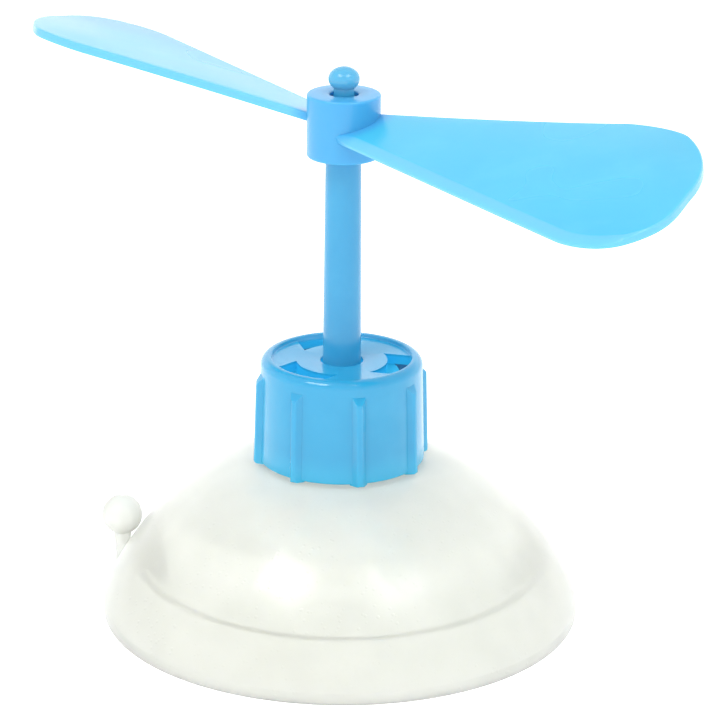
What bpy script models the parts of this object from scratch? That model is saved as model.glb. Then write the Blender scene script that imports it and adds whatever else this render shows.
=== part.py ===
"""Two-blade wind spinner on a suction cup: a soft clear cup, a ribbed screw cap, a post and a rotor.

Metres, +Z up. The origin is the centre of the cup's foot, on the surface that the cup stands on.
The post, the screw cap and the rotor all turn about Z.
"""

import math

import bmesh
import bpy
from mathutils import Matrix, Vector

# Clearances
GAP = 0.0003  # between pieces that touch
JOURNAL_CLEARANCE = 0.0003  # between the rotor's bore and the post

# Suction cup
CUP_RADIUS = 0.0360
RIM_HEIGHT = 0.0018  # the upright edge of the lip
BELL_RISE = 0.0221  # from the top of that edge to the shoulder under the cap
BELL_POWER_OUT = 1.172  # how the bell's side fills out, sideways and upwards
BELL_POWER_UP = 1.638
FOOT_WIDTH = 0.0010  # the flat ring that the lip stands on
LIP_WIDTH = 0.0072  # from the outer edge to the chamber
CREASE_HEIGHT = 0.0067  # the top of the lip's underside
LEDGE_WIDTH = 0.0012  # the step between the lip and the chamber
CROWN_THICKNESS = 0.0068  # between the chamber and the shoulder
CEILING_RADIUS = 0.0200  # the chamber's flat ceiling
CEILING_DROP = 0.0025  # from the ceiling's centre to its edge
FLANK_BOW = 0.0011  # how far the chamber's flank bows outwards
NECK_RADIUS = 0.0101
NECK_CHAMFER = 0.0005
SHOULDER_MARGIN = 0.0001  # how far the shoulder reaches past the cap

# Release tab on the lip
TAB_AZIMUTH = math.radians(160.5)
TAB_ROOT_HEIGHT = 0.0020
TAB_ROOT_RADIUS = 0.0011
TAB_STEM_RADIUS = 0.0014
TAB_BALL_RADIUS = 0.0031
TAB_BALL_HEIGHT = 0.0096

# Thread between neck and cap
THREAD_PITCH = 0.0030
THREAD_HEIGHT = 0.0008
THREAD_SINK = 0.0004  # how deep a ridge's foot lies in its wall
THREAD_FOOT_WIDTH = 0.0013
THREAD_CREST_WIDTH = 0.0006
THREAD_START = 0.0026  # above the shoulder
THREAD_TOP_MARGIN = 0.00295  # from the neck thread's end to the neck's top
CAP_THREAD_TURNS = 1.5

# Screw cap
CAP_STANDOFF = 0.0006  # above the shoulder
CAP_HEIGHT = 0.0152  # up to the top plate
CAP_WALL = 0.0009
CAP_DRAFT = 0.0004  # how much wider the wall is at its foot
CAP_PLATE = 0.0015
CAP_BEAD_HEIGHT = 0.0006  # above the plate
CAP_BEAD_WIDTH = 0.0017
CAP_BEAD_ROUND = 0.0013
CAP_BEAD_CHAMFER = 0.0001  # at its inner edge
CAP_DISC_RADIUS = 0.0068  # the plate's middle, inside the windows
WINDOW_COUNT = 3
WINDOW_WIDTH = 0.0086
WINDOW_AZIMUTH = math.radians(-134.0)
RIB_COUNT = 8
RIB_WIDTH = 0.0015
RIB_DEPTH = 0.0009
RIB_DROP = 0.0012  # from the cap's plate down to a rib's top
RIB_CHAMFER = 0.0016
RIB_OVERHANG = 0.0002  # how far a rib reaches below the wall
RIB_AZIMUTH = math.radians(-77.5)

# Post
FLANGE_RADIUS = 0.0087
FLANGE_THICKNESS = 0.0014
SPIGOT_RADIUS = 0.0030
SPIGOT_LENGTH = 0.0050
POST_BASE_RADIUS = 0.00286
POST_TOP_RADIUS = 0.00263
POST_REACH = 0.03125  # from the cap's plate to the rotor's seat
JOURNAL_RADIUS = 0.0018
NECKING_RADIUS = 0.0015
BALL_RADIUS = 0.0023
BALL_HALF_HEIGHT = 0.00178
BALL_GAP = 0.00042  # between the hub and the ball

# Rotor
HUB_RADIUS = 0.0054
HUB_HEIGHT = 0.00935
HUB_CHAMFER = 0.0004
BORE_CHAMFER = 0.0003
ROTOR_AZIMUTH = math.radians(-45.0)
BLADE_COUNT = 2
BLADE_HEIGHT = 0.00537  # the blade's upper face at the axis, above the hub's foot
BLADE_LENGTH = 0.0679  # from the axis to the tip
BLADE_THICKNESS = 0.0013
BLADE_PITCH = math.radians(13.1)
BLADE_DIHEDRAL = math.radians(3.5)
ROOT_MARGIN = 0.0002  # between the bore and the blade's root inside the hub
ROOT_FRONT = 0.0034
ROOT_BACK = 0.0046
WIDEST_FRONT = 0.0140
WIDEST_BACK = 0.0184

# Facets
BIG_STEPS = 48
SMALL_STEPS = 32
BELL_STEPS = 13
FLANK_STEPS = 6
CEILING_STEPS = 4

# Places that follow from the sizes above
SHOULDER_Z = RIM_HEIGHT + BELL_RISE
CAP_BORE_RADIUS = NECK_RADIUS + THREAD_HEIGHT + GAP
CAP_TOP_RADIUS = CAP_BORE_RADIUS + CAP_WALL
CAP_FOOT_RADIUS = CAP_TOP_RADIUS + CAP_DRAFT
SHOULDER_RADIUS = CAP_FOOT_RADIUS + SHOULDER_MARGIN
CAP_Z = SHOULDER_Z + CAP_STANDOFF
PLATE_Z = CAP_Z + CAP_HEIGHT
FLANGE_Z = PLATE_Z - CAP_PLATE - GAP - FLANGE_THICKNESS
NECK_TOP_Z = FLANGE_Z - GAP
NECK_THREAD_RISE = NECK_TOP_Z - THREAD_TOP_MARGIN - SHOULDER_Z - THREAD_START
NECK_THREAD_TURNS = NECK_THREAD_RISE / THREAD_PITCH
RIB_TOP = CAP_HEIGHT - RIB_DROP
SEAT_Z = PLATE_Z + POST_REACH
HUB_Z = SEAT_Z + GAP
BORE_RADIUS = JOURNAL_RADIUS + JOURNAL_CLEARANCE
BLADE_ROOT = BORE_RADIUS + ROOT_MARGIN
WINDOW_OUTER_RADIUS = CAP_TOP_RADIUS - CAP_BEAD_WIDTH


def clear_scene():
    for old in list(bpy.data.objects):
        bpy.data.objects.remove(old)


def new_collection(name):
    collection = bpy.data.collections.new(name)
    bpy.context.scene.collection.children.link(collection)
    return collection


def plastic(name, colour, roughness, transmission=0.0):
    material = bpy.data.materials.new(name)
    material.use_nodes = True
    shader = material.node_tree.nodes["Principled BSDF"]
    shader.inputs["Base Color"].default_value = (*colour, 1.0)
    shader.inputs["Roughness"].default_value = roughness
    shader.inputs["Metallic"].default_value = 0.0
    shader.inputs["Transmission Weight"].default_value = transmission
    return material


def add_object(name, mesh, collection, material=None):
    obj = bpy.data.objects.new(name, mesh)
    collection.objects.link(obj)
    if material:
        mesh.materials.append(material)
    return obj


def turned(name, profile, steps, collection, material=None, closed=False):
    """A profile of (radius, height) points that runs down the outer side, turned about Z."""
    edges = [(i, i + 1) for i in range(len(profile) - 1)]
    if closed:
        edges.append((len(profile) - 1, 0))
    mesh = bpy.data.meshes.new(name)
    mesh.from_pydata([(r, 0.0, z) for r, z in profile], edges, [])
    obj = add_object(name, mesh, collection, material)
    screw = obj.modifiers.new("turn", "SCREW")
    screw.steps = steps
    screw.render_steps = steps
    screw.use_smooth_shade = False
    screw.use_merge_vertices = True
    screw.merge_threshold = 0.00001
    return obj


def mesh_from_curve(curve_object, collection):
    """The evaluated curve as a welded mesh object of the same name, which takes its place."""
    graph = bpy.context.evaluated_depsgraph_get()
    mesh = bpy.data.meshes.new_from_object(curve_object.evaluated_get(graph))
    edit = bmesh.new()
    edit.from_mesh(mesh)
    bmesh.ops.remove_doubles(edit, verts=edit.verts, dist=0.000001)
    bmesh.ops.recalc_face_normals(edit, faces=edit.faces)
    edit.to_mesh(mesh)
    edit.free()
    name = curve_object.name
    place = curve_object.matrix_world.copy()
    bpy.data.objects.remove(curve_object)
    obj = add_object(name, mesh, collection)
    obj.matrix_world = place
    return obj


def plate(name, spline_points, thickness, collection, resolution=1):
    """A flat outline of (point, left handle, right handle), with its upper face at z = 0."""
    curve = bpy.data.curves.new(name, "CURVE")
    curve.dimensions = "2D"
    curve.fill_mode = "BOTH"
    curve.extrude = thickness / 2
    curve.resolution_u = resolution
    spline = curve.splines.new("BEZIER")
    spline.bezier_points.add(len(spline_points) - 1)
    for knot, (point, left, right) in zip(spline.bezier_points, spline_points):
        knot.co = (*point, 0.0)
        knot.handle_left = (*left, 0.0)
        knot.handle_right = (*right, 0.0)
    spline.use_cyclic_u = True
    curve_object = add_object(name, curve, collection)
    bpy.context.view_layer.update()
    obj = mesh_from_curve(curve_object, collection)
    obj.data.transform(Matrix.Translation((0.0, 0.0, -thickness / 2)))
    return obj


def straight(points):
    """Bezier knots for a polygon."""
    return [(p, p, p) for p in points]


def helix_ridge(name, wall_radius, crest_radius, start_z, turns, collection):
    """A thread ridge whose crest rises from the wall and sinks back into it at both ends."""
    outward = math.copysign(1.0, crest_radius - wall_radius)
    foot_radius = wall_radius - outward * THREAD_SINK
    count = round(turns * BIG_STEPS)
    run_out = BIG_STEPS / 4
    edit = bmesh.new()
    rings = []
    for i in range(count + 1):
        angle = 2 * math.pi * i / BIG_STEPS
        z = start_z + THREAD_PITCH * i / BIG_STEPS
        rise = max(0.1, min(1.0, i / run_out, (count - i) / run_out))
        radius = foot_radius + rise * (crest_radius - foot_radius)
        section = [
            (foot_radius, -THREAD_FOOT_WIDTH / 2),
            (radius, -THREAD_CREST_WIDTH / 2),
            (radius, THREAD_CREST_WIDTH / 2),
            (foot_radius, THREAD_FOOT_WIDTH / 2),
        ]
        rings.append(
            [edit.verts.new((r * math.cos(angle), r * math.sin(angle), z + dz)) for r, dz in section]
        )
    for near, far in zip(rings[:-1], rings[1:]):
        for k in range(4):
            edit.faces.new((near[k], near[(k + 1) % 4], far[(k + 1) % 4], far[k]))
    edit.faces.new(rings[0])
    edit.faces.new(rings[-1])
    bmesh.ops.recalc_face_normals(edit, faces=edit.faces)
    mesh = bpy.data.meshes.new(name)
    edit.to_mesh(mesh)
    edit.free()
    return add_object(name, mesh, collection)


def combine(obj, tool, operation):
    """Joins or cuts obj with tool, which follows obj and is left out of renders."""
    tool.parent = obj
    tool.hide_render = True
    tool.display_type = "WIRE"
    boolean = obj.modifiers.new(tool.name, "BOOLEAN")
    boolean.operation = operation
    boolean.solver = "EXACT"
    boolean.object = tool


def finish_shading(obj):
    smooth = obj.modifiers.new("weld", "WELD")
    smooth.merge_threshold = 0.000001
    obj.data.shade_smooth()
    obj.data.set_sharp_from_angle(angle=math.radians(35))


def arc(centre, radius_r, radius_z, start, end, steps):
    """Points of an elliptic arc in the profile plane, from start to end in degrees."""
    angles = [math.radians(start + (end - start) * i / steps) for i in range(steps + 1)]
    return [(centre[0] + radius_r * math.cos(a), centre[1] + radius_z * math.sin(a)) for a in angles]


def bell_profile():
    """The bell's outside from the shoulder down to the top of the lip's upright edge."""
    points = []
    for i in range(BELL_STEPS, -1, -1):
        turn = math.pi / 2 * i / BELL_STEPS
        out = max(0.0, math.cos(turn)) ** BELL_POWER_OUT
        up = math.sin(turn) ** BELL_POWER_UP
        points.append((SHOULDER_RADIUS + (CUP_RADIUS - SHOULDER_RADIUS) * out, RIM_HEIGHT + BELL_RISE * up))
    return points


def chamber_profile():
    """The underside from the foot's inner edge, over the lip, the step and the flank, to the ceiling."""
    lip_edge = CUP_RADIUS - LIP_WIDTH
    flank_foot = lip_edge - LEDGE_WIDTH
    ceiling_z = SHOULDER_Z - CROWN_THICKNESS
    ceiling_edge_z = ceiling_z - CEILING_DROP
    points = [(CUP_RADIUS - FOOT_WIDTH, 0.0), (lip_edge, CREASE_HEIGHT), (flank_foot, CREASE_HEIGHT)]
    for i in range(1, FLANK_STEPS + 1):
        t = i / FLANK_STEPS
        bow = FLANK_BOW * math.sin(math.pi * t)
        r = flank_foot + (CEILING_RADIUS - flank_foot) * t + bow
        points.append((r, CREASE_HEIGHT + (ceiling_edge_z - CREASE_HEIGHT) * t + bow))
    for i in range(1, CEILING_STEPS + 1):
        t = i / CEILING_STEPS
        points.append((CEILING_RADIUS * (1 - t), ceiling_edge_z + CEILING_DROP * math.sin(t * math.pi / 2)))
    points[-1] = (0.0, ceiling_z)
    return points


def suction_cup(collection, cutters):
    """Bell, lip, threaded neck and release tab, moulded in one soft piece."""
    socket_radius = SPIGOT_RADIUS + GAP
    socket_z = FLANGE_Z - SPIGOT_LENGTH - GAP
    profile = [
        (0.0, socket_z),
        (socket_radius, socket_z),
        (socket_radius, NECK_TOP_Z),
        (NECK_RADIUS - NECK_CHAMFER, NECK_TOP_Z),
        (NECK_RADIUS, NECK_TOP_Z - NECK_CHAMFER),
        (NECK_RADIUS, SHOULDER_Z),
    ]
    profile += bell_profile() + [(CUP_RADIUS, 0.0)] + chamber_profile()
    material = plastic("clear_soft_pvc", (0.86, 0.90, 0.80), 0.12, transmission=0.8)
    cup = turned("suction_cup", profile, BIG_STEPS, collection, material)
    thread = helix_ridge(
        "neck_thread",
        NECK_RADIUS,
        NECK_RADIUS + THREAD_HEIGHT,
        SHOULDER_Z + THREAD_START,
        NECK_THREAD_TURNS,
        cutters,
    )
    combine(cup, thread, "UNION")
    combine(cup, release_tab(cutters), "UNION")
    finish_shading(cup)
    return cup


def release_tab(cutters):
    """The ball-ended stem on the lip that lifts its edge."""
    neck_angle = math.degrees(math.asin(TAB_STEM_RADIUS / TAB_BALL_RADIUS))
    ball = arc((0.0, TAB_BALL_HEIGHT), TAB_BALL_RADIUS, TAB_BALL_RADIUS, 90, neck_angle - 90, 10)
    ball[0] = (0.0, TAB_BALL_HEIGHT + TAB_BALL_RADIUS)
    root = arc((0.0, TAB_ROOT_HEIGHT), TAB_ROOT_RADIUS, TAB_ROOT_RADIUS, 0, -90, 4)
    root[-1] = (0.0, TAB_ROOT_HEIGHT - TAB_ROOT_RADIUS)
    tab = turned("release_tab", ball + root, 16, cutters)
    tab.location = (
        CUP_RADIUS * math.cos(TAB_AZIMUTH),
        CUP_RADIUS * math.sin(TAB_AZIMUTH),
        0.0,
    )
    return tab


def rib(name, azimuth, cutters):
    """One grip rib: a bar on the wall, with a sloping top and the wall's draft."""
    inner = CAP_TOP_RADIUS - CAP_WALL / 2
    edit = bmesh.new()
    bmesh.ops.create_cube(edit, size=1.0)
    for vertex in edit.verts:
        outside = vertex.co.x > 0
        top = vertex.co.z > 0
        wall = CAP_TOP_RADIUS if top else CAP_FOOT_RADIUS
        vertex.co.x = wall + RIB_DEPTH if outside else inner
        vertex.co.y *= RIB_WIDTH
        vertex.co.z = RIB_TOP if top else -RIB_OVERHANG
        if top and outside:
            vertex.co.z -= RIB_CHAMFER
        if not top and not outside:
            vertex.co.x = CAP_FOOT_RADIUS - CAP_WALL / 2
    mesh = bpy.data.meshes.new(name)
    edit.to_mesh(mesh)
    edit.free()
    bar = add_object(name, mesh, cutters)
    bar.rotation_euler.z = azimuth
    return bar


def window(name, azimuth, cutters):
    """A straight-sided opening through the plate, between the disc's arc and the bead's arc."""
    half = WINDOW_WIDTH / 2
    steps = 6

    def side(radius, direction):
        reach = math.asin(half / radius) * direction
        turns = [reach * (2 * i / steps - 1) for i in range(steps + 1)]
        return [(radius * math.cos(a), radius * math.sin(a)) for a in turns]

    outline = side(CAP_DISC_RADIUS, 1) + side(WINDOW_OUTER_RADIUS, -1)
    depth = CAP_PLATE + 2 * CAP_BEAD_HEIGHT
    cutter = plate(name, straight(outline), depth, cutters)
    cutter.location.z = CAP_HEIGHT + CAP_BEAD_HEIGHT / 2
    cutter.rotation_euler.z = azimuth
    return cutter


def screw_cap(collection, cutters):
    """Ribbed cap with an inside thread, a beaded edge and three windows round its middle disc."""
    hole_radius = POST_BASE_RADIUS + GAP
    bead_top = CAP_HEIGHT + CAP_BEAD_HEIGHT
    bead_centre = (CAP_TOP_RADIUS - CAP_BEAD_ROUND, bead_top - CAP_BEAD_ROUND)
    bead_inner = CAP_TOP_RADIUS - CAP_BEAD_WIDTH
    profile = [
        (hole_radius, CAP_HEIGHT),
        (bead_inner, CAP_HEIGHT),
        (bead_inner + CAP_BEAD_CHAMFER, bead_top - CAP_BEAD_CHAMFER),
    ]
    profile += arc(bead_centre, CAP_BEAD_ROUND, CAP_BEAD_ROUND, 90, 0, 5)
    profile += [
        (CAP_FOOT_RADIUS, 0.0),
        (CAP_BORE_RADIUS, 0.0),
        (CAP_BORE_RADIUS, CAP_HEIGHT - CAP_PLATE),
        (hole_radius, CAP_HEIGHT - CAP_PLATE),
    ]
    material = plastic("blue_cap", (0.035, 0.36, 0.86), 0.22)
    cap = turned("screw_cap", profile, BIG_STEPS, collection, material, closed=True)
    cap.location.z = CAP_Z
    thread = helix_ridge(
        "cap_thread",
        CAP_BORE_RADIUS,
        NECK_RADIUS + GAP,
        SHOULDER_Z + THREAD_START + THREAD_PITCH / 2 - CAP_Z,
        CAP_THREAD_TURNS,
        cutters,
    )
    combine(cap, thread, "UNION")
    for i in range(RIB_COUNT):
        combine(cap, rib(f"rib_{i}", RIB_AZIMUTH + 2 * math.pi * i / RIB_COUNT, cutters), "UNION")
    for i in range(WINDOW_COUNT):
        opening = window(f"window_{i}", WINDOW_AZIMUTH + 2 * math.pi * i / WINDOW_COUNT, cutters)
        combine(cap, opening, "DIFFERENCE")
    finish_shading(cap)
    return cap


def post(collection):
    """Flanged, tapered post with a journal for the rotor and a snap-in ball head."""
    seat = SEAT_Z - FLANGE_Z
    hub_top = HUB_Z + HUB_HEIGHT - FLANGE_Z
    ball_z = hub_top + BALL_GAP + BALL_HALF_HEIGHT
    neck_turn = math.degrees(math.acos(NECKING_RADIUS / BALL_RADIUS))
    ball = arc((0.0, ball_z), BALL_RADIUS, BALL_HALF_HEIGHT, 90, -neck_turn, 10)
    ball[0] = (0.0, ball_z + BALL_HALF_HEIGHT)
    profile = ball + [
        (NECKING_RADIUS, hub_top - BORE_CHAMFER),
        (JOURNAL_RADIUS, hub_top - 2 * BORE_CHAMFER),
        (JOURNAL_RADIUS, seat),
        (POST_TOP_RADIUS, seat),
        (POST_BASE_RADIUS, PLATE_Z - FLANGE_Z),
        (POST_BASE_RADIUS, FLANGE_THICKNESS),
        (FLANGE_RADIUS, FLANGE_THICKNESS),
        (FLANGE_RADIUS, 0.0),
        (SPIGOT_RADIUS, 0.0),
        (SPIGOT_RADIUS, -SPIGOT_LENGTH),
        (0.0, -SPIGOT_LENGTH),
    ]
    material = plastic("blue_post", (0.02, 0.26, 0.72), 0.25)
    obj = turned("post", profile, SMALL_STEPS, collection, material)
    obj.location.z = FLANGE_Z
    finish_shading(obj)
    return obj


def blade_outline():
    """Bezier knots of the blade in its own plane: straight flanks and a rounded, swept tip."""
    tip = BLADE_LENGTH

    def knot(x, y, left, right):
        return ((x, y), (x + left[0], y + left[1]), (x + right[0], y + right[1]))

    return [
        knot(BLADE_ROOT, ROOT_FRONT, (0, 0), (0, 0)),
        knot(tip - 0.0252, WIDEST_FRONT - 0.0006, (-0.0152, -0.0049), (0.0023, 0.0007)),
        knot(tip - 0.0134, WIDEST_FRONT - 0.0012, (-0.0027, 0.0016), (0.0052, -0.0031)),
        knot(tip - 0.0022, -0.0010, (-0.0016, 0.0058), (0.0013, -0.0045)),
        knot(tip - 0.0016, -WIDEST_BACK + 0.0035, (0.0032, 0.0056), (-0.0022, -0.0039)),
        knot(tip - 0.0121, -WIDEST_BACK + 0.0004, (0.0029, -0.0007), (-0.0042, 0.0010)),
        knot(BLADE_ROOT, -ROOT_BACK, (0, 0), (0, 0)),
    ]


def rotor(collection, cutters):
    """Hub with two pitched blades, moulded in one piece."""
    profile = [
        (BORE_RADIUS + BORE_CHAMFER, HUB_HEIGHT),
        (HUB_RADIUS - HUB_CHAMFER, HUB_HEIGHT),
        (HUB_RADIUS, HUB_HEIGHT - HUB_CHAMFER),
        (HUB_RADIUS, HUB_CHAMFER),
        (HUB_RADIUS - HUB_CHAMFER, 0.0),
        (BORE_RADIUS, 0.0),
        (BORE_RADIUS, HUB_HEIGHT - BORE_CHAMFER),
    ]
    material = plastic("blue_rotor", (0.06, 0.46, 0.90), 0.25)
    obj = turned("rotor", profile, SMALL_STEPS, collection, material, closed=True)
    obj.location.z = HUB_Z
    obj.rotation_euler.z = ROTOR_AZIMUTH
    tilt = Matrix.Rotation(-BLADE_DIHEDRAL, 4, "Y") @ Matrix.Rotation(BLADE_PITCH, 4, "X")
    for i in range(BLADE_COUNT):
        blade = plate(f"blade_{i}", blade_outline(), BLADE_THICKNESS, cutters, resolution=7)
        turn = Matrix.Rotation(2 * math.pi * i / BLADE_COUNT, 4, "Z")
        blade.data.transform(Matrix.Translation(Vector((0, 0, BLADE_HEIGHT))) @ turn @ tilt)
        combine(obj, blade, "UNION")
    finish_shading(obj)
    return obj


def main():
    clear_scene()
    collection = new_collection("suction_cup_spinner")
    cutters = new_collection("cutters")
    suction_cup(collection, cutters)
    screw_cap(collection, cutters)
    post(collection)
    rotor(collection, cutters)


main()
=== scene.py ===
"""Looks of the suction cup spinner: fine mouldings in blue and clear plastic, a white table and soft light.

Metres, +Z up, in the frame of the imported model. Heights and radii that the model gives are read from it.
"""

import math

import bmesh
import bpy
from mathutils import Matrix, Vector
from mathutils.geometry import interpolate_bezier


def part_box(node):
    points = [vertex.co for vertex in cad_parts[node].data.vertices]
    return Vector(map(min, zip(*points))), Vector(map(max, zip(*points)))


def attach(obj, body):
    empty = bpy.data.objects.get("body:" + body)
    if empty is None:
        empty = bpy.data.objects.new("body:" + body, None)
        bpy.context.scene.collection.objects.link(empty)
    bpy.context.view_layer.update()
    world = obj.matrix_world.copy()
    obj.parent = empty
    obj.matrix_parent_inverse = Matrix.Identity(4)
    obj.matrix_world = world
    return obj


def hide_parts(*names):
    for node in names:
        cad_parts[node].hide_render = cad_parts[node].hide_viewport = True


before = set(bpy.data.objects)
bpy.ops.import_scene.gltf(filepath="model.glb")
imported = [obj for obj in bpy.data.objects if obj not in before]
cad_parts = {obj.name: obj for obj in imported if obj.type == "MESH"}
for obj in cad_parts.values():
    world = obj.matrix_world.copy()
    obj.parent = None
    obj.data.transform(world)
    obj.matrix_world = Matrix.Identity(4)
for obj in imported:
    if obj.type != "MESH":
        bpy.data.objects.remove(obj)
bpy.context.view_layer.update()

# Camera
CAMERA_DISTANCE = 0.4603  # along the table, from the spinner's axis
CAMERA_HEIGHT = 0.2035
CAMERA_PITCH = math.radians(19.597)
CAMERA_YAW = math.radians(0.337)
CAMERA_ROLL = math.radians(0.578)
CAMERA_LENS = 163.9  # mm
CAMERA_SENSOR = 36.0  # mm

# Stage
TABLE_RADIUS = 1.6  # of its flat middle
TABLE_BEND = 1.2  # radius of the curve up into the backdrop
TABLE_GLOW = 0.32
SKY_STRENGTH = 0.92
LIGHT_AZIMUTH = 48  # degrees to either side
LIGHT_ELEVATION = 57
LIGHT_DISTANCE = 0.9
LIGHT_SIZE = (0.36, 0.28)
LIGHT_TARGET = (0.0, 0.0, 0.04)  # about the spinner's middle

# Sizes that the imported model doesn't give by its boxes
RIB_OVERHANG = 0.0002
BEAD_HEIGHT = 0.0006
CAP_PLATE = 0.0015
CAP_WALL = 0.0009
CAP_DRAFT = 0.0004
CAP_DISC_RADIUS = 0.0068
RIB_DEPTH = 0.0009
RIB_WIDTH = 0.0015
RIB_CREST_SHARE = 0.60  # of the rib's width, at its crest and at its foot
RIB_FOOT_SHARE = 1.8
RIB_ROUND = 0.00032
RIB_TOP = 0.0140
RIB_SLOPE = 0.0016
RIB_COUNT = 8
RIB_AZIMUTH = math.radians(-77.5)
WINDOW_COUNT = 3
WINDOW_WIDTH = 0.0086
WINDOW_AZIMUTH = math.radians(-134.0)
CAP_STANDOFF = 0.0006
BEAD_WIDTH = 0.0017
BEAD_ROUND = 0.0013
GAP = 0.0003

NECK_RADIUS = 0.0101
SPIGOT_RADIUS = 0.0030
SPIGOT_LENGTH = 0.0050
FLANGE_THICKNESS = 0.0014
RIM_HEIGHT = 0.0018
LIP_WIDTH = 0.0072
FOOT_WIDTH = 0.0010
CREASE_HEIGHT = 0.0067
LEDGE_WIDTH = 0.0012
CROWN_THICKNESS = 0.0068
CEILING_EDGE_RADIUS = 0.0200
CEILING_EDGE_HEIGHT = 0.0146
FLANK_BOW = 0.0011  # how far the chamber's flank bows outwards
STEP_LEAN = 0.0004  # of the step above the lip
STEP_HEIGHT = 0.0012
EDGE_HEIGHT = 0.0006  # where the lip's outer edge starts to round
SHOULDER_MARGIN = 0.0001  # how far the shoulder reaches past the cap
BELL_POWER_OUT = 1.172
BELL_POWER_UP = 1.638
THREAD_PITCH = 0.0030
THREAD_HEIGHT = 0.0008
THREAD_START = 0.0026
NECK_THREAD_TURNS = 2.25
CAP_THREAD_TURNS = 1.5
THREAD_SINK = 0.0004  # how deep a ridge's foot lies in its wall
THREAD_FOOT_HALF = 0.00065  # half widths of the ridge, from foot to crest
THREAD_SHOULDER_HALF = 0.00042
THREAD_CREST_HALF = 0.00022
THREAD_RUNOUT = 0.25  # turns over which a ridge sinks at its ends
LEAST_RISE = 0.1  # of a ridge, at its ends
TAB_AZIMUTH = math.radians(160.5)
TAB_BALL_RADIUS = 0.0031
TAB_BALL_HEIGHT = 0.0096
TAB_STEM_RADIUS = 0.0014
TAB_ROOT_RADIUS = 0.0011
TAB_ROOT_HEIGHT = 0.0020
TAB_WAIST = 0.00012  # how much the stem narrows at its middle

POST_BASE_RADIUS = 0.00286
POST_TOP_RADIUS = 0.00263
JOURNAL_RADIUS = 0.0018
NECKING_RADIUS = 0.0015
BORE_RADIUS = 0.0021
BALL_RADIUS = 0.0023
BALL_HALF_HEIGHT = 0.00178
BALL_GAP = 0.00042

HUB_RADIUS = 0.0054
ROTOR_AZIMUTH = math.radians(-45.0)
BLADE_HEIGHT = 0.00537
BLADE_LENGTH = 0.0679
BLADE_COUNT = 2
BLADE_THICKNESS = 0.0013
EDGE_ROUND = 0.00022  # of the blade's edges, inwards and down
EDGE_DROP = 0.00014
BEVEL_WIDTH = 0.0013  # added along the trailing edge
BEVEL_DROP = 0.00068
BLADE_PITCH = math.radians(13.1)
BLADE_DIHEDRAL = math.radians(3.5)
BLADE_ROOT = 0.0023
ROOT_FRONT = 0.0034
ROOT_BACK = 0.0046
WIDEST_FRONT = 0.0140
WIDEST_BACK = 0.0184

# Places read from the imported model
cup_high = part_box("suction_cup")[1]
cap_low, cap_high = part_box("screw_cap")
post_low, post_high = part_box("post")
rotor_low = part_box("rotor")[0]
CUP_RADIUS = cup_high[1]
NECK_TOP_Z = cup_high[2]
CAP_Z = cap_low[2] + RIB_OVERHANG
SHOULDER_Z = CAP_Z - CAP_STANDOFF
BEAD_TOP_Z = cap_high[2]
PLATE_Z = BEAD_TOP_Z - BEAD_HEIGHT
CAP_BORE_RADIUS = NECK_RADIUS + THREAD_HEIGHT + GAP
CAP_TOP_RADIUS = CAP_BORE_RADIUS + CAP_WALL
CAP_FOOT_RADIUS = CAP_TOP_RADIUS + CAP_DRAFT
WINDOW_OUTER_RADIUS = CAP_TOP_RADIUS - BEAD_WIDTH
FLANGE_Z = post_low[2] + SPIGOT_LENGTH
FLANGE_RADIUS = post_high[0]
HUB_Z = rotor_low[2]
HUB_TOP_Z = post_high[2] - 2 * BALL_HALF_HEIGHT - BALL_GAP
SEAT_Z = HUB_Z - GAP

# Steps around a turn
FINE_STEPS = 192
POST_STEPS = 128
THREAD_STEPS = 96
TAB_STEPS = 64
TABLE_STEPS = 96


# Meshes


def object_from(name, edit):
    """A new object with the mesh that was built in edit."""
    mesh = bpy.data.meshes.new(name)
    edit.to_mesh(mesh)
    edit.free()
    piece = bpy.data.objects.new(name, mesh)
    bpy.context.scene.collection.objects.link(piece)
    return piece


def rounded(corners, steps=5):
    """A profile through (radius, height, fillet) corners, with each fillet turned into an arc."""
    points = []
    for i, (r, z, fillet) in enumerate(corners):
        here = Vector((r, z))
        if not fillet or i in (0, len(corners) - 1):
            points.append(here)
            continue
        before = Vector(corners[i - 1][:2]) - here
        after = Vector(corners[i + 1][:2]) - here
        reach = min(fillet, 0.45 * before.length, 0.45 * after.length)
        start = here + before.normalized() * reach
        end = here + after.normalized() * reach
        for k in range(steps + 1):
            t = k / steps
            points.append((1 - t) ** 2 * start + 2 * t * (1 - t) * here + t * t * end)
    return [(p.x, p.y) for p in points]


def turned(name, profile, steps, closed=False):
    """A profile that runs down the outer side, turned about Z. A point at radius 0 is a pole."""
    edit = bmesh.new()
    rings = []
    for r, z in profile:
        if r < 1e-7:
            rings.append([edit.verts.new((0.0, 0.0, z))] * steps)
            continue
        turns = [2 * math.pi * k / steps for k in range(steps)]
        rings.append([edit.verts.new((r * math.cos(a), r * math.sin(a), z)) for a in turns])
    if closed:
        rings.append(rings[0])
    for upper, lower in zip(rings[:-1], rings[1:]):
        for k in range(steps):
            n = (k + 1) % steps
            loop = []
            for vertex in (upper[k], lower[k], lower[n], upper[n]):
                if vertex not in loop:
                    loop.append(vertex)
            if len(loop) > 2:
                edit.faces.new(loop)
    bmesh.ops.recalc_face_normals(edit, faces=edit.faces)
    return object_from(name, edit)


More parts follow.
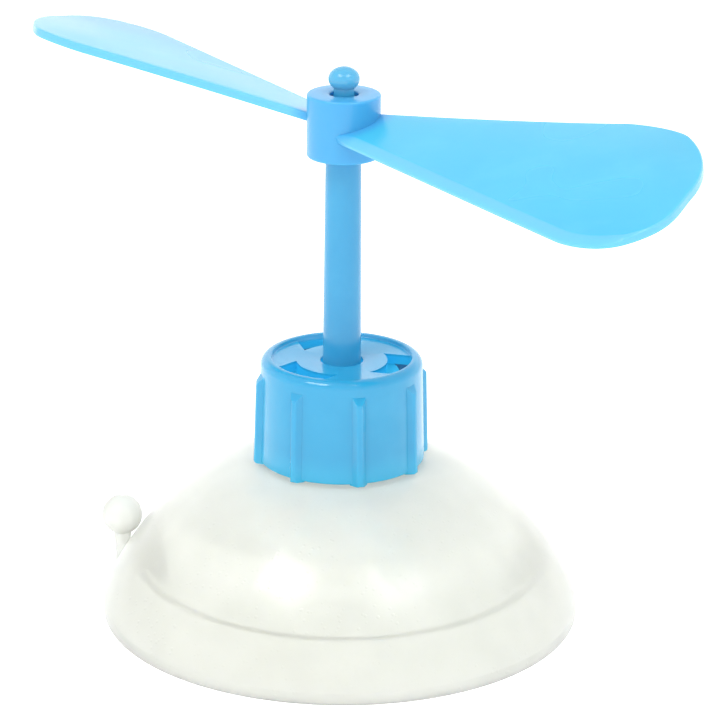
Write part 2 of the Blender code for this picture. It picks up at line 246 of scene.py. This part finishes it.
def helix_ridge(name, wall_radius, crest_radius, start_z, turns):
    """A rounded thread ridge whose crest runs out at both ends."""
    outward = math.copysign(1.0, crest_radius - wall_radius)
    foot = wall_radius - outward * THREAD_SINK
    count = round(turns * THREAD_STEPS)
    run_out = THREAD_RUNOUT * THREAD_STEPS
    half_section = [(0.0, THREAD_FOOT_HALF), (0.75, THREAD_SHOULDER_HALF), (1.0, THREAD_CREST_HALF)]
    section = [(share, -half) for share, half in half_section] + half_section[::-1]
    edit = bmesh.new()
    rings = []
    for i in range(count + 1):
        angle = 2 * math.pi * i / THREAD_STEPS
        z = start_z + THREAD_PITCH * i / THREAD_STEPS
        rise = max(LEAST_RISE, min(1.0, i / run_out, (count - i) / run_out))
        ring = []
        for share, dz in section:
            r = foot + share * rise * (crest_radius - foot)
            ring.append(edit.verts.new((r * math.cos(angle), r * math.sin(angle), z + dz)))
        rings.append(ring)
    sides = len(section)
    for near, far in zip(rings[:-1], rings[1:]):
        for k in range(sides):
            edit.faces.new((near[k], near[(k + 1) % sides], far[(k + 1) % sides], far[k]))
    edit.faces.new(rings[0])
    edit.faces.new(rings[-1])
    bmesh.ops.recalc_face_normals(edit, faces=edit.faces)
    return object_from(name, edit)


def combined(piece, tools, operation):
    """The piece with its tools joined on or cut out, and the tools gone."""
    for tool in tools:
        step = piece.modifiers.new(tool.name, "BOOLEAN")
        step.operation = operation
        step.solver = "EXACT"
        step.object = tool
    bpy.context.view_layer.update()
    graph = bpy.context.evaluated_depsgraph_get()
    mesh = bpy.data.meshes.new_from_object(piece.evaluated_get(graph))
    old = piece.data
    piece.modifiers.clear()
    piece.data = mesh
    mesh.name = piece.name
    bpy.data.meshes.remove(old)
    for tool in tools:
        bpy.data.objects.remove(tool)
    return piece


def cleaned(piece, sharp_angle):
    """Loose doubles welded and the shading smooth up to that angle, in degrees."""
    edit = bmesh.new()
    edit.from_mesh(piece.data)
    bmesh.ops.remove_doubles(edit, verts=edit.verts, dist=1e-6)
    edit.to_mesh(piece.data)
    edit.free()
    piece.data.shade_smooth()
    piece.data.set_sharp_from_angle(angle=math.radians(sharp_angle))
    return piece


def arc(centre, radius_r, radius_z, start, end, steps):
    """Points of an elliptic arc in the profile plane, from start to end in degrees."""
    angles = [math.radians(start + (end - start) * i / steps) for i in range(steps + 1)]
    return [(centre[0] + radius_r * math.cos(a), centre[1] + radius_z * math.sin(a)) for a in angles]


# Suction cup


def bell(steps=72):
    """The outside from the shoulder to the top of the rim's upright edge."""
    shoulder = CAP_FOOT_RADIUS + SHOULDER_MARGIN
    rise = SHOULDER_Z - RIM_HEIGHT
    points = []
    for i in range(steps, -1, -1):
        turn = math.pi / 2 * i / steps
        out = max(0.0, math.cos(turn)) ** BELL_POWER_OUT
        up = math.sin(turn) ** BELL_POWER_UP
        points.append((shoulder + (CUP_RADIUS - shoulder) * out, RIM_HEIGHT + rise * up))
    return points


def chamber():
    """The underside: lip, step, flank up to the ceiling's edge, and the shallow ceiling."""
    lip_edge = CUP_RADIUS - LIP_WIDTH
    flank_foot = lip_edge - LEDGE_WIDTH
    ceiling_z = SHOULDER_Z - CROWN_THICKNESS
    lip = rounded(
        [
            (CUP_RADIUS, EDGE_HEIGHT, 0),
            (CUP_RADIUS, 0.0, 0.0004),
            (CUP_RADIUS - FOOT_WIDTH, 0.0, 0.0006),
            (lip_edge, CREASE_HEIGHT, 0.0014),
            (flank_foot, CREASE_HEIGHT, 0.0006),
            (flank_foot - STEP_LEAN, CREASE_HEIGHT + STEP_HEIGHT, 0),
        ]
    )
    flank = []
    steps = 14
    for i in range(1, steps + 1):
        t = i / steps
        bow = FLANK_BOW * math.sin(math.pi * t)
        r = (flank_foot - STEP_LEAN) + (CEILING_EDGE_RADIUS - flank_foot + STEP_LEAN) * t + bow
        z = CREASE_HEIGHT + STEP_HEIGHT + (CEILING_EDGE_HEIGHT - CREASE_HEIGHT - STEP_HEIGHT) * t + bow
        flank.append((r, z))
    ceiling = []
    for i in range(1, steps + 1):
        t = i / steps
        rise = (ceiling_z - CEILING_EDGE_HEIGHT) * math.sin(t * math.pi / 2)
        ceiling.append((CEILING_EDGE_RADIUS * (1 - t), CEILING_EDGE_HEIGHT + rise))
    ceiling[-1] = (0.0, ceiling_z)
    return lip + flank + ceiling


def release_tab():
    """The ball-ended stem on the lip."""
    neck_angle = math.degrees(math.asin(TAB_STEM_RADIUS / TAB_BALL_RADIUS))
    ball = arc((0.0, TAB_BALL_HEIGHT), TAB_BALL_RADIUS, TAB_BALL_RADIUS, 90, neck_angle - 90, 40)
    ball[0] = (0.0, TAB_BALL_HEIGHT + TAB_BALL_RADIUS)
    neck_z = ball[-1][1]
    stem = []
    steps = 13
    for i in range(1, steps):
        t = i / steps
        waist = TAB_WAIST * math.sin(math.pi * t)
        r = TAB_STEM_RADIUS + (TAB_ROOT_RADIUS - TAB_STEM_RADIUS) * t - waist
        stem.append((r, neck_z + (TAB_ROOT_HEIGHT - neck_z) * t))
    root = arc((0.0, TAB_ROOT_HEIGHT), TAB_ROOT_RADIUS, TAB_ROOT_RADIUS, 0, -90, 10)
    root[-1] = (0.0, TAB_ROOT_HEIGHT - TAB_ROOT_RADIUS)
    tab = turned("tab", ball + stem + root, TAB_STEPS)
    tab.location = (CUP_RADIUS * math.cos(TAB_AZIMUTH), CUP_RADIUS * math.sin(TAB_AZIMUTH), 0.0)
    return tab


def make_cup():
    socket_radius = SPIGOT_RADIUS + GAP
    socket_z = post_low[2] - GAP
    neck = rounded(
        [
            (0.0, socket_z, 0),
            (socket_radius, socket_z, 0.0003),
            (socket_radius, NECK_TOP_Z, 0.0004),
            (NECK_RADIUS, NECK_TOP_Z, 0.0006),
            (NECK_RADIUS, SHOULDER_Z, 0.0008),
            (CAP_FOOT_RADIUS, SHOULDER_Z, 0),
        ]
    )
    cup = turned("clear_cup", neck[:-1] + bell() + chamber(), FINE_STEPS)
    thread = helix_ridge(
        "neck_thread", NECK_RADIUS, NECK_RADIUS + THREAD_HEIGHT, SHOULDER_Z + THREAD_START, NECK_THREAD_TURNS
    )
    combined(cup, [thread, release_tab()], "UNION")
    return cleaned(cup, 40)


# Screw cap


def make_rib(index):
    """A grip rib with rounded flanks, a sloping top and the wall's draft."""
    inner = CAP_TOP_RADIUS - CAP_WALL / 2
    edit = bmesh.new()
    bmesh.ops.create_cube(edit, size=1.0)
    for vertex in edit.verts:
        outside = vertex.co.x > 0
        top = vertex.co.z > 0
        wall = CAP_TOP_RADIUS if top else CAP_FOOT_RADIUS
        vertex.co.x = wall + RIB_DEPTH if outside else inner
        vertex.co.y *= RIB_WIDTH * (RIB_CREST_SHARE if outside else RIB_FOOT_SHARE)
        vertex.co.z = RIB_TOP if top else -RIB_OVERHANG
        if top and outside:
            vertex.co.z -= RIB_SLOPE
        if not top and not outside:
            vertex.co.x = CAP_FOOT_RADIUS - CAP_WALL / 2
    outer = [e for e in edit.edges if all(v.co.x > CAP_TOP_RADIUS for v in e.verts)]
    bmesh.ops.bevel(edit, geom=outer, offset=RIB_ROUND, segments=4, profile=0.5, affect="EDGES")
    bar = object_from(f"rib_{index}", edit)
    bar.location.z = CAP_Z
    bar.rotation_euler.z = RIB_AZIMUTH + 2 * math.pi * index / RIB_COUNT
    return bar


def make_window(index):
    """A cutter with straight sides between the disc's arc and the bead's arc."""
    half = WINDOW_WIDTH / 2
    steps = 24
    outline = []
    for radius, direction in ((CAP_DISC_RADIUS, 1), (WINDOW_OUTER_RADIUS, -1)):
        reach = math.asin(half / radius) * direction
        for i in range(steps + 1):
            a = reach * (2 * i / steps - 1)
            outline.append((radius * math.cos(a), radius * math.sin(a)))
    edit = bmesh.new()
    low = [edit.verts.new((x, y, -CAP_PLATE - BEAD_HEIGHT)) for x, y in outline]
    high = [edit.verts.new((x, y, BEAD_HEIGHT)) for x, y in outline]
    edit.faces.new(low)
    edit.faces.new(high)
    for i in range(len(outline)):
        n = (i + 1) % len(outline)
        edit.faces.new((low[i], low[n], high[n], high[i]))
    bmesh.ops.recalc_face_normals(edit, faces=edit.faces)
    cutter = object_from(f"window_{index}", edit)
    cutter.location.z = PLATE_Z
    cutter.rotation_euler.z = WINDOW_AZIMUTH + 2 * math.pi * index / WINDOW_COUNT
    return cutter


def make_cap():
    hole = POST_BASE_RADIUS + GAP
    bead_centre = (CAP_TOP_RADIUS - BEAD_ROUND, BEAD_TOP_Z - BEAD_ROUND)
    bead_inner = CAP_TOP_RADIUS - BEAD_WIDTH
    top = rounded(
        [
            (hole, PLATE_Z - 0.0004, 0),
            (hole, PLATE_Z, 0.0002),
            (bead_inner, PLATE_Z, 0.0002),
            (bead_inner + 0.0001, BEAD_TOP_Z, 0.0003),
            (bead_centre[0], BEAD_TOP_Z, 0),
        ]
    )
    bead = arc(bead_centre, BEAD_ROUND, BEAD_ROUND, 86, 0, 16)
    skirt = rounded(
        [
            (CAP_TOP_RADIUS, BEAD_TOP_Z - BEAD_ROUND - 0.0005, 0),
            (CAP_FOOT_RADIUS, CAP_Z, 0.0003),
            (CAP_BORE_RADIUS, CAP_Z, 0.0003),
            (CAP_BORE_RADIUS, PLATE_Z - CAP_PLATE, 0.0005),
            (hole, PLATE_Z - CAP_PLATE, 0.0002),
            (hole, PLATE_Z - CAP_PLATE + 0.0004, 0),
        ]
    )
    cap = turned("blue_cap", top + bead + skirt, FINE_STEPS, closed=True)
    thread = helix_ridge(
        "cap_thread",
        CAP_BORE_RADIUS,
        NECK_RADIUS + GAP,
        SHOULDER_Z + THREAD_START + THREAD_PITCH / 2,
        CAP_THREAD_TURNS,
    )
    combined(cap, [thread] + [make_rib(i) for i in range(RIB_COUNT)], "UNION")
    combined(cap, [make_window(i) for i in range(WINDOW_COUNT)], "DIFFERENCE")
    return cleaned(cap, 32)


# Post


def make_post():
    ball_z = post_high[2] - BALL_HALF_HEIGHT
    neck_turn = math.degrees(math.acos(NECKING_RADIUS / BALL_RADIUS))
    ball = arc((0.0, ball_z), BALL_RADIUS, BALL_HALF_HEIGHT, 90, -neck_turn, 40)
    ball[0] = (0.0, ball_z + BALL_HALF_HEIGHT)
    shaft = rounded(
        [
            (NECKING_RADIUS, ball[-1][1] - 0.0001, 0),
            (NECKING_RADIUS, HUB_TOP_Z - 0.0003, 0.0002),
            (JOURNAL_RADIUS, HUB_TOP_Z - 0.0006, 0.0002),
            (JOURNAL_RADIUS, SEAT_Z, 0.0002),
            (POST_TOP_RADIUS, SEAT_Z, 0.0003),
            (POST_BASE_RADIUS, PLATE_Z, 0),
            (POST_BASE_RADIUS, FLANGE_Z + FLANGE_THICKNESS, 0.0004),
            (FLANGE_RADIUS, FLANGE_Z + FLANGE_THICKNESS, 0.0003),
            (FLANGE_RADIUS, FLANGE_Z, 0.0003),
            (SPIGOT_RADIUS, FLANGE_Z, 0.0003),
            (SPIGOT_RADIUS, post_low[2], 0.0005),
            (0.0, post_low[2], 0),
        ]
    )
    return cleaned(turned("blue_post", ball + shaft, POST_STEPS), 50)


# Rotor


def blade_outline(per_span=26):
    """The blade's outline in its own plane: straight flanks and a rounded, swept tip."""
    tip = BLADE_LENGTH
    knots = [
        ((BLADE_ROOT, ROOT_FRONT), (0, 0), (0, 0)),
        ((tip - 0.0252, WIDEST_FRONT - 0.0006), (-0.0152, -0.0049), (0.0023, 0.0007)),
        ((tip - 0.0134, WIDEST_FRONT - 0.0012), (-0.0027, 0.0016), (0.0052, -0.0031)),
        ((tip - 0.0022, -0.0010), (-0.0016, 0.0058), (0.0013, -0.0045)),
        ((tip - 0.0016, -WIDEST_BACK + 0.0035), (0.0032, 0.0056), (-0.0022, -0.0039)),
        ((tip - 0.0121, -WIDEST_BACK + 0.0004), (0.0029, -0.0007), (-0.0042, 0.0010)),
        ((BLADE_ROOT, -ROOT_BACK), (0, 0), (0, 0)),
    ]
    outline = []
    for (here, _, leave), (there, arrive, _) in zip(knots[:-1], knots[1:]):
        start, end = Vector(here), Vector(there)
        span = interpolate_bezier(start, start + Vector(leave), end + Vector(arrive), end, per_span)
        outline += [Vector((p[0], p[1])) for p in span[:-1]]
    outline.append(Vector(knots[-1][0]))
    return outline


def smoothstep(low, high, value):
    t = max(0.0, min(1.0, (value - low) / (high - low)))
    return t * t * (3 - 2 * t)


def make_blade(name):
    """A blade with a rounded leading edge and a bevel along the trailing edge's upper side."""
    outline = blade_outline()
    count = len(outline)
    rings = [[] for _ in range(8)]
    edit = bmesh.new()
    for i, point in enumerate(outline):
        ahead = outline[min(i + 1, count - 1)]
        behind = outline[max(i - 1, 0)]
        along = (ahead - behind).normalized()
        inward = Vector((along.y, -along.x))
        trailing = smoothstep(0.25, 0.92, inward.y) * smoothstep(0.0, 0.004, point.x - BLADE_ROOT)
        width = EDGE_ROUND + BEVEL_WIDTH * trailing
        drop = EDGE_DROP + BEVEL_DROP * trailing
        section = [
            (EDGE_ROUND, -BLADE_THICKNESS),
            (0.00007, -BLADE_THICKNESS + 0.00005),
            (0.0, -BLADE_THICKNESS + 0.00018),
            (0.0, -drop - 0.00008),
            (0.00005, -drop),
            (width * 0.5, -drop * 0.46),
            (width, -0.00002),
            (width + 0.00012, 0.0),
        ]
        for ring, (inset, z) in zip(rings, section):
            spot = point + inward * inset
            ring.append(edit.verts.new((spot.x, spot.y, z)))
    for lower, upper in zip(rings[:-1], rings[1:]):
        for i in range(count):
            n = (i + 1) % count
            edit.faces.new((lower[i], lower[n], upper[n], upper[i]))
    edit.faces.new(rings[0])
    edit.faces.new(rings[-1])
    bmesh.ops.recalc_face_normals(edit, faces=edit.faces)
    return object_from(name, edit)


def make_rotor():
    hub = rounded(
        [
            (BORE_RADIUS, HUB_TOP_Z - 0.0008, 0),
            (BORE_RADIUS, HUB_TOP_Z, 0.0003),
            (HUB_RADIUS, HUB_TOP_Z, 0.00034),
            (HUB_RADIUS, HUB_Z, 0.00034),
            (BORE_RADIUS, HUB_Z, 0.0002),
            (BORE_RADIUS, HUB_Z + 0.0006, 0),
        ]
    )
    rotor = turned("blue_rotor", hub, FINE_STEPS, closed=True)
    tilt = Matrix.Rotation(-BLADE_DIHEDRAL, 4, "Y") @ Matrix.Rotation(BLADE_PITCH, 4, "X")
    blades = []
    for i in range(BLADE_COUNT):
        blade = make_blade(f"blade_{i}")
        turn = Matrix.Rotation(ROTOR_AZIMUTH + 2 * math.pi * i / BLADE_COUNT, 4, "Z")
        blade.data.transform(Matrix.Translation((0, 0, HUB_Z + BLADE_HEIGHT)) @ turn @ tilt)
        blades.append(blade)
    combined(rotor, blades, "UNION")
    return cleaned(rotor, 24)


# Materials


class Wire:
    """A node's output. Arithmetic on wires adds Math nodes to the same material."""

    def __init__(self, paint, socket):
        self.paint = paint
        self.socket = socket

    def math(self, operation, *values):
        return self.paint.node("ShaderNodeMath", {"operation": operation}, dict(enumerate(values)))

    def __add__(self, other):
        return self.math("ADD", self, other)

    def __mul__(self, other):
        return self.math("MULTIPLY", self, other)

    def __sub__(self, other):
        return self.math("SUBTRACT", self, other)

    def __rsub__(self, other):
        return self.math("SUBTRACT", other, self)

    __radd__ = __add__
    __rmul__ = __mul__


class Paint:
    """A material under construction."""

    def __init__(self, name):
        self.material = bpy.data.materials.new(name)
        self.material.use_nodes = True
        self.tree = self.material.node_tree
        self.tree.nodes.clear()
        self.output = self.tree.nodes.new("ShaderNodeOutputMaterial")

    def node(self, kind, settings=None, inputs=None, output=0):
        """Adds a node: its settings first (a ramp's stops too), then its sockets' values or wires."""
        node = self.tree.nodes.new(kind)
        for key, value in (settings or {}).items():
            if key == "stops":
                self.set_stops(node.color_ramp, value)
            else:
                setattr(node, key, value)
        for key, value in (inputs or {}).items():
            socket = node.inputs[key]
            if isinstance(value, Wire):
                self.tree.links.new(value.socket, socket)
            else:
                socket.default_value = value
        return Wire(self, node.outputs[output])

    def set_stops(self, ramp, stops):
        while len(ramp.elements) < len(stops):
            ramp.elements.new(1.0)
        for element, (position, colour) in zip(ramp.elements, stops):
            element.position = position
            element.color = (*colour, 1.0)

    def place(self):
        """The object's own coordinates, in metres."""
        return self.node("ShaderNodeTexCoord", output="Object")

    def height(self, place):
        return self.node("ShaderNodeSeparateXYZ", inputs={"Vector": place}, output=2)

    def axis_distance(self, place):
        """The distance from the spinner's own axis."""
        flat = self.node("ShaderNodeVectorMath", {"operation": "MULTIPLY"}, {0: place, 1: (1.0, 1.0, 0.0)})
        return self.node("ShaderNodeVectorMath", {"operation": "LENGTH"}, {0: flat}, output=1)

    def in_blade_frame(self, vector):
        """The vector's parts along the blade, across it and up."""
        turned_vector = self.node(
            "ShaderNodeVectorRotate", {"rotation_type": "Z_AXIS"}, {"Vector": vector, "Angle": -ROTOR_AZIMUTH}
        )
        parts = {"Vector": turned_vector}
        return [self.node("ShaderNodeSeparateXYZ", inputs=parts, output=i) for i in range(3)]

    def noise(self, scale, detail=3.0, roughness=0.5, vector=None):
        return self.node(
            "ShaderNodeTexNoise",
            inputs={
                "Vector": vector or self.place(),
                "Scale": scale,
                "Detail": detail,
                "Roughness": roughness,
            },
        )

    def between(self, value, low, high, to_low=0.0, to_high=1.0):
        return self.node(
            "ShaderNodeMapRange",
            {"interpolation_type": "SMOOTHSTEP"},
            {"Value": value, "From Min": low, "From Max": high, "To Min": to_low, "To Max": to_high},
        )

    def blend(self, share, first, second):
        """A colour between two colours."""
        return self.node("ShaderNodeMix", {"data_type": "RGBA"}, {0: share, 6: first, 7: second}, output=2)

    def bump(self, height, strength, distance, normal=None):
        inputs = {"Height": height, "Strength": strength, "Distance": distance}
        if normal:
            inputs["Normal"] = normal
        return self.node("ShaderNodeBump", inputs=inputs)

    def finish(self, shader):
        self.tree.links.new(shader.socket, self.output.inputs["Surface"])
        return self.material


def colour(r, g, b):
    return (r, g, b, 1.0)


def blue_plastic(name, body, deep, pale, painted_shading=None, light=None, roughness=0.22, coat=0.15):
    """Translucent moulded plastic: cloudy flow in the colour, fine moulding texture, softly uneven gloss.

    The colour can take painted shade and light from place to place, and a painted glow: an emission that
    stands in for the light that passes through.
    """
    paint = Paint(name)
    place = paint.place()
    flow = paint.noise(90.0, 4.0, 0.55, place)
    clouds = paint.noise(28.0, 2.0, 0.5, place)
    specks = paint.noise(1400.0, 2.0, 0.6, place)
    tone = paint.blend(paint.between(clouds, 0.35, 0.68), colour(*deep), colour(*body))
    tone = paint.blend(paint.between(flow, 0.45, 0.78, 0.0, 0.45), tone, colour(*pale))
    # painted shade and light, where a hook for them is given
    if painted_shading:
        tone = painted_shading(paint, place, tone)
    grain = paint.bump(specks, 0.10, 0.00004)
    ripple = paint.bump(flow, 0.06, 0.0003, grain)
    shader = paint.node(
        "ShaderNodeBsdfPrincipled",
        inputs={
            "Base Color": tone,
            "Roughness": paint.between(clouds, 0.3, 0.7, roughness - 0.05, roughness + 0.07),
            "Normal": ripple,
            "IOR": 1.47,
            "Subsurface Weight": 0.3,
            "Subsurface Radius": (0.35, 0.8, 1.0),
            "Subsurface Scale": 0.0026,
            "Coat Weight": coat,
            "Coat Roughness": 0.08,
            # painted glow: an emission that stands in for light passing through the plastic
            "Emission Color": light(paint, place) if light else colour(0.0, 0.0, 0.0),
            "Emission Strength": 1.0,
        },
    )
    return paint.finish(shader)


def rotor_painted_shading(paint, place, tone):
    """Painted shade: deeper at the hub and the blades' roots. Painted light: paler on the blades' bevels and
    edges.
    """
    radius = paint.axis_distance(place)
    spots = paint.in_blade_frame(place)
    facing = paint.in_blade_frame(paint.node("ShaderNodeTexCoord", output="Normal"))
    side = spots[0].math("SIGN", spots[0])
    upward = facing[2] * (math.cos(BLADE_DIHEDRAL) * math.cos(BLADE_PITCH))
    outward = facing[0] * (math.sin(BLADE_DIHEDRAL) * math.cos(BLADE_PITCH))
    level = upward - side * (outward + facing[1] * math.sin(BLADE_PITCH))
    # painted light: a paler band where the surface tilts away from the blade's plane, on the bevels and edges
    rim = paint.between(level, 0.93, 0.98, 1.0, 0.0) * paint.between(level, -0.6, -0.3)
    tone = paint.blend(rim * 0.9, tone, colour(0.135, 0.475, 0.70))
    # painted shade: a deeper blue at the hub and the blades' roots
    return paint.blend(paint.between(radius, 0.0054, 0.0085), colour(0.058, 0.355, 0.66), tone)


def post_painted_glow(paint, place):
    """Painted glow: an emission that stands in for the light that comes through the clear neck to the flange,
    and through the ball.
    """
    height = paint.height(place)
    lit = paint.between(height, PLATE_Z - 0.0012, PLATE_Z + 0.0004)
    # painted light: the ball above the hub glows a little
    top = paint.blend(
        paint.between(height, HUB_TOP_Z, HUB_TOP_Z + 0.0012), colour(0.0, 0.0, 0.0), colour(0.045, 0.06, 0.03)
    )
    return paint.blend(lit, colour(0.012, 0.20, 0.26), top)


def cap_painted_glow(paint, place):
    """Painted glow: an emission that stands in for the light that comes through the plate and the windows'
    sides, and through the wall near its foot.
    """
    height = paint.height(place)
    radius = paint.axis_distance(place)
    inside = paint.between(radius, WINDOW_OUTER_RADIUS - 0.0001, WINDOW_OUTER_RADIUS + 0.0002, 1.0, 0.0)
    sides = paint.between(height, PLATE_Z - 0.0005, PLATE_Z - 0.0001, 1.0, 0.0)
    foot = paint.between(height, CAP_Z, CAP_Z + 0.0045, 1.0, 0.0)
    # painted light: the plate and the windows' sides glow, and the wall glows near its foot
    plate = paint.blend(sides, colour(0.0, 0.045, 0.075), colour(0.008, 0.17, 0.30))
    wall = paint.blend(foot, colour(0.0, 0.0, 0.0), colour(0.0, 0.07, 0.08))
    return paint.blend(inside, wall, plate)


def clear_vinyl():
    """Soft clear vinyl: milky, faintly yellow green, with a mould's soft waves and tiny bubbles, and a
    painted glow in the crown.
    """
    paint = Paint("clear_vinyl")
    place = paint.place()
    waves = paint.noise(60.0, 2.0, 0.5, place)
    fog = paint.noise(35.0, 3.0, 0.6, place)
    bubbles = paint.node(
        "ShaderNodeTexVoronoi", {"feature": "F1"}, {"Vector": place, "Scale": 900.0, "Randomness": 1.0}
    )
    pits = paint.between(bubbles, 0.10, 0.26, 1.0, 0.0)
    normal = paint.bump(pits, 0.2, 0.0001, paint.bump(waves, 0.25, 0.0006))
    clear = paint.node(
        "ShaderNodeBsdfPrincipled",
        inputs={
            "Base Color": paint.blend(fog, colour(0.960, 0.965, 0.930), colour(0.978, 0.980, 0.960)),
            "Roughness": paint.between(fog, 0.3, 0.7, 0.13, 0.20),
            "Normal": normal,
            "IOR": 1.5,
            "Transmission Weight": 1.0,
        },
    )
    height = paint.height(place)
    # painted light: the milky part glows in the crown, lifting the shade under the cap
    painted_crown_glow = paint.between(height, 0.0100, 0.0200)
    milky = paint.node(
        "ShaderNodeBsdfPrincipled",
        inputs={
            "Base Color": paint.blend(fog, colour(0.762, 0.770, 0.700), colour(0.825, 0.830, 0.785)),
            "Roughness": 0.30,
            "Normal": normal,
            "IOR": 1.5,
            "Subsurface Weight": 1.0,
            "Subsurface Radius": (1.0, 1.0, 0.9),
            "Subsurface Scale": 0.004,
            "Emission Color": paint.blend(painted_crown_glow, colour(0.0, 0.0, 0.0), colour(0.94, 0.945, 0.93)),
            "Emission Strength": 0.24,
        },
    )
    share = paint.between(fog, 0.3, 0.75, 0.46, 0.54)
    return paint.finish(paint.node("ShaderNodeMixShader", inputs={0: share, 1: clear, 2: milky}))


def white_table():
    paint = Paint("white_table")
    mottle = paint.noise(6.0, 3.0)
    tone = paint.blend(mottle, colour(0.93, 0.93, 0.93), colour(0.96, 0.96, 0.96))
    return paint.finish(
        paint.node(
            "ShaderNodeBsdfPrincipled",
            inputs={
                "Base Color": tone,
                "Roughness": 0.8,
                "Emission Color": tone,
                "Emission Strength": TABLE_GLOW,
            },
        )
    )


# Stage


def add_camera():
    data = bpy.data.cameras.new("camera")
    data.sensor_width = CAMERA_SENSOR
    data.lens = CAMERA_LENS
    camera = bpy.data.objects.new("camera", data)
    bpy.context.scene.collection.objects.link(camera)
    turn = (
        Matrix.Rotation(-CAMERA_YAW, 4, "Z")
        @ Matrix.Rotation(math.pi / 2 - CAMERA_PITCH, 4, "X")
        @ Matrix.Rotation(CAMERA_ROLL, 4, "Z")
    )
    camera.matrix_world = Matrix.Translation((0.0, -CAMERA_DISTANCE, CAMERA_HEIGHT)) @ turn
    data.clip_start = 0.01
    bpy.context.scene.camera = camera


def add_softbox(name, azimuth, strength):
    """A flat light that faces the spinner's middle. Azimuth is from the camera's side, to the right."""
    data = bpy.data.lights.new(name, "AREA")
    data.shape = "RECTANGLE"
    data.size, data.size_y = LIGHT_SIZE
    data.energy = strength
    light = bpy.data.objects.new(name, data)
    bpy.context.scene.collection.objects.link(light)
    a, e = math.radians(azimuth), math.radians(LIGHT_ELEVATION)
    direction = Vector((math.sin(a) * math.cos(e), -math.cos(a) * math.cos(e), math.sin(e)))
    light.location = Vector(LIGHT_TARGET) + direction * LIGHT_DISTANCE
    light.rotation_euler = direction.to_track_quat("Z", "Y").to_euler()


def add_stage():
    """A white table that curves up into a backdrop on every side, under a white sky."""
    flat = [(0.0, 0.0), (TABLE_RADIUS, 0.0)]
    bend = [
        (TABLE_RADIUS + TABLE_BEND * math.sin(a), TABLE_BEND - TABLE_BEND * math.cos(a))
        for a in (0.3, 0.6, 0.9, 1.2, math.pi / 2)
    ]
    table = turned("table", flat + bend, TABLE_STEPS)
    table.data.shade_smooth()
    table.data.materials.append(white_table())
    world = bpy.data.worlds.new("white_room")
    world.use_nodes = True
    world.node_tree.nodes["Background"].inputs["Color"].default_value = (1.0, 1.0, 1.0, 1.0)
    world.node_tree.nodes["Background"].inputs["Strength"].default_value = SKY_STRENGTH
    bpy.context.scene.world = world
    add_softbox("left_box", -LIGHT_AZIMUTH, 2.3)
    add_softbox("right_box", LIGHT_AZIMUTH, 1.9)
    bpy.context.scene.view_settings.view_transform = "Standard"


def dress(piece, material, body, node):
    piece.data.materials.clear()
    piece.data.materials.append(material)
    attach(piece, body)
    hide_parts(node)


add_camera()
add_stage()
cap_blue = blue_plastic(
    "cap_blue",
    (0.030, 0.350, 0.60),
    (0.025, 0.330, 0.575),
    (0.048, 0.390, 0.635),
    light=cap_painted_glow,
    roughness=0.18,
    coat=0.3,
)
post_blue = blue_plastic(
    "post_blue", (0.044, 0.34, 0.59), (0.037, 0.315, 0.565), (0.068, 0.38, 0.63), light=post_painted_glow
)
rotor_blue = blue_plastic(
    "rotor_blue", (0.054, 0.46, 0.68), (0.046, 0.435, 0.66), (0.083, 0.505, 0.71), rotor_painted_shading, coat=0.05
)
dress(make_cup(), clear_vinyl(), "base", "suction_cup")
dress(make_cap(), cap_blue, "cap", "screw_cap")
dress(make_post(), post_blue, "post", "post")
dress(make_rotor(), rotor_blue, "rotor", "rotor")
